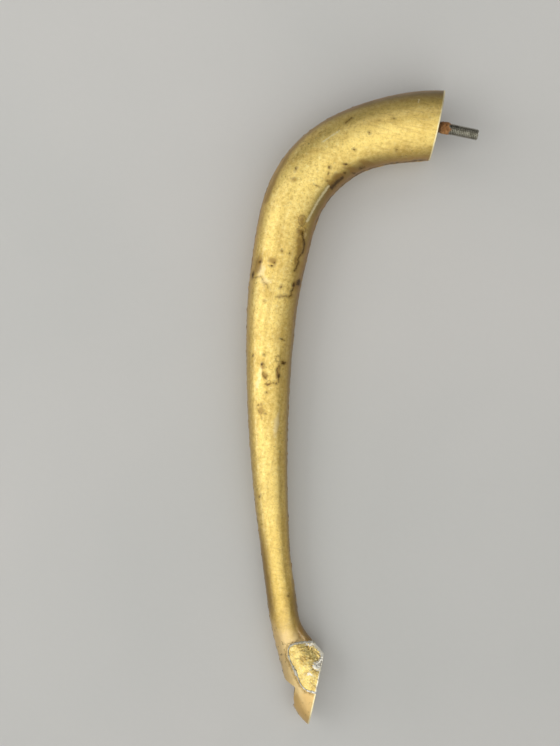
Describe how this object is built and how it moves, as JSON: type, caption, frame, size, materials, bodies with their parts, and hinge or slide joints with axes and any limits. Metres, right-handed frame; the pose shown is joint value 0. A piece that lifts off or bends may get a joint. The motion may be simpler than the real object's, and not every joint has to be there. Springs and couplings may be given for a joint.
{
  "type": "curved door pull handle",
  "caption": "Hollow curved brass pull handle, wide open mouth with a steel stud at one end, tapering to a slanted open foot with a soldered repair patch; both ends stand on one plane.",
  "frame": {"origin": "where the stud's axis meets the plane that the handle stands on, in the middle of the mouth", "axes": "+X along the stud, out of the mouth and into the door; +Y along the door's face from the foot up to the mouth; +Z square to the handle's plane of symmetry, so the handle lies on its side"},
  "size_m": [0.1372, 0.4534, 0.0484],
  "materials": {
    "shell_brass": "aged satin lacquered brass with worn patches",
    "seam_braze": "dark, pitted brazed seam",
    "patch_brass": "rough mottled brass sheet",
    "soft_solder": "dull pale tin solder",
    "inner_brass": "dull unpolished brass",
    "stud_steel": "grey threaded steel, rusted near the handle",
    "nut_steel": "dull oxidised steel"
  },
  "bodies": {
    "root": {"near_half_shell": "shell_brass", "far_half_shell": "shell_brass", "ridge_seam_braze": "seam_braze", "toe_seam_braze": "seam_braze", "inner_seam_braze": "seam_braze", "foot_patch": "patch_brass", "foot_patch_solder": "soft_solder", "bridge_solder_upper": "soft_solder", "bridge_solder_lower": "soft_solder", "anchor_solder_near": "soft_solder", "anchor_solder_far": "soft_solder", "stud_bridge": "inner_brass", "foot_anchor": "inner_brass", "mounting_stud": "stud_steel", "stud_washer": "nut_steel", "stud_lock_nut": "nut_steel"}
  },
  "joints": []
}
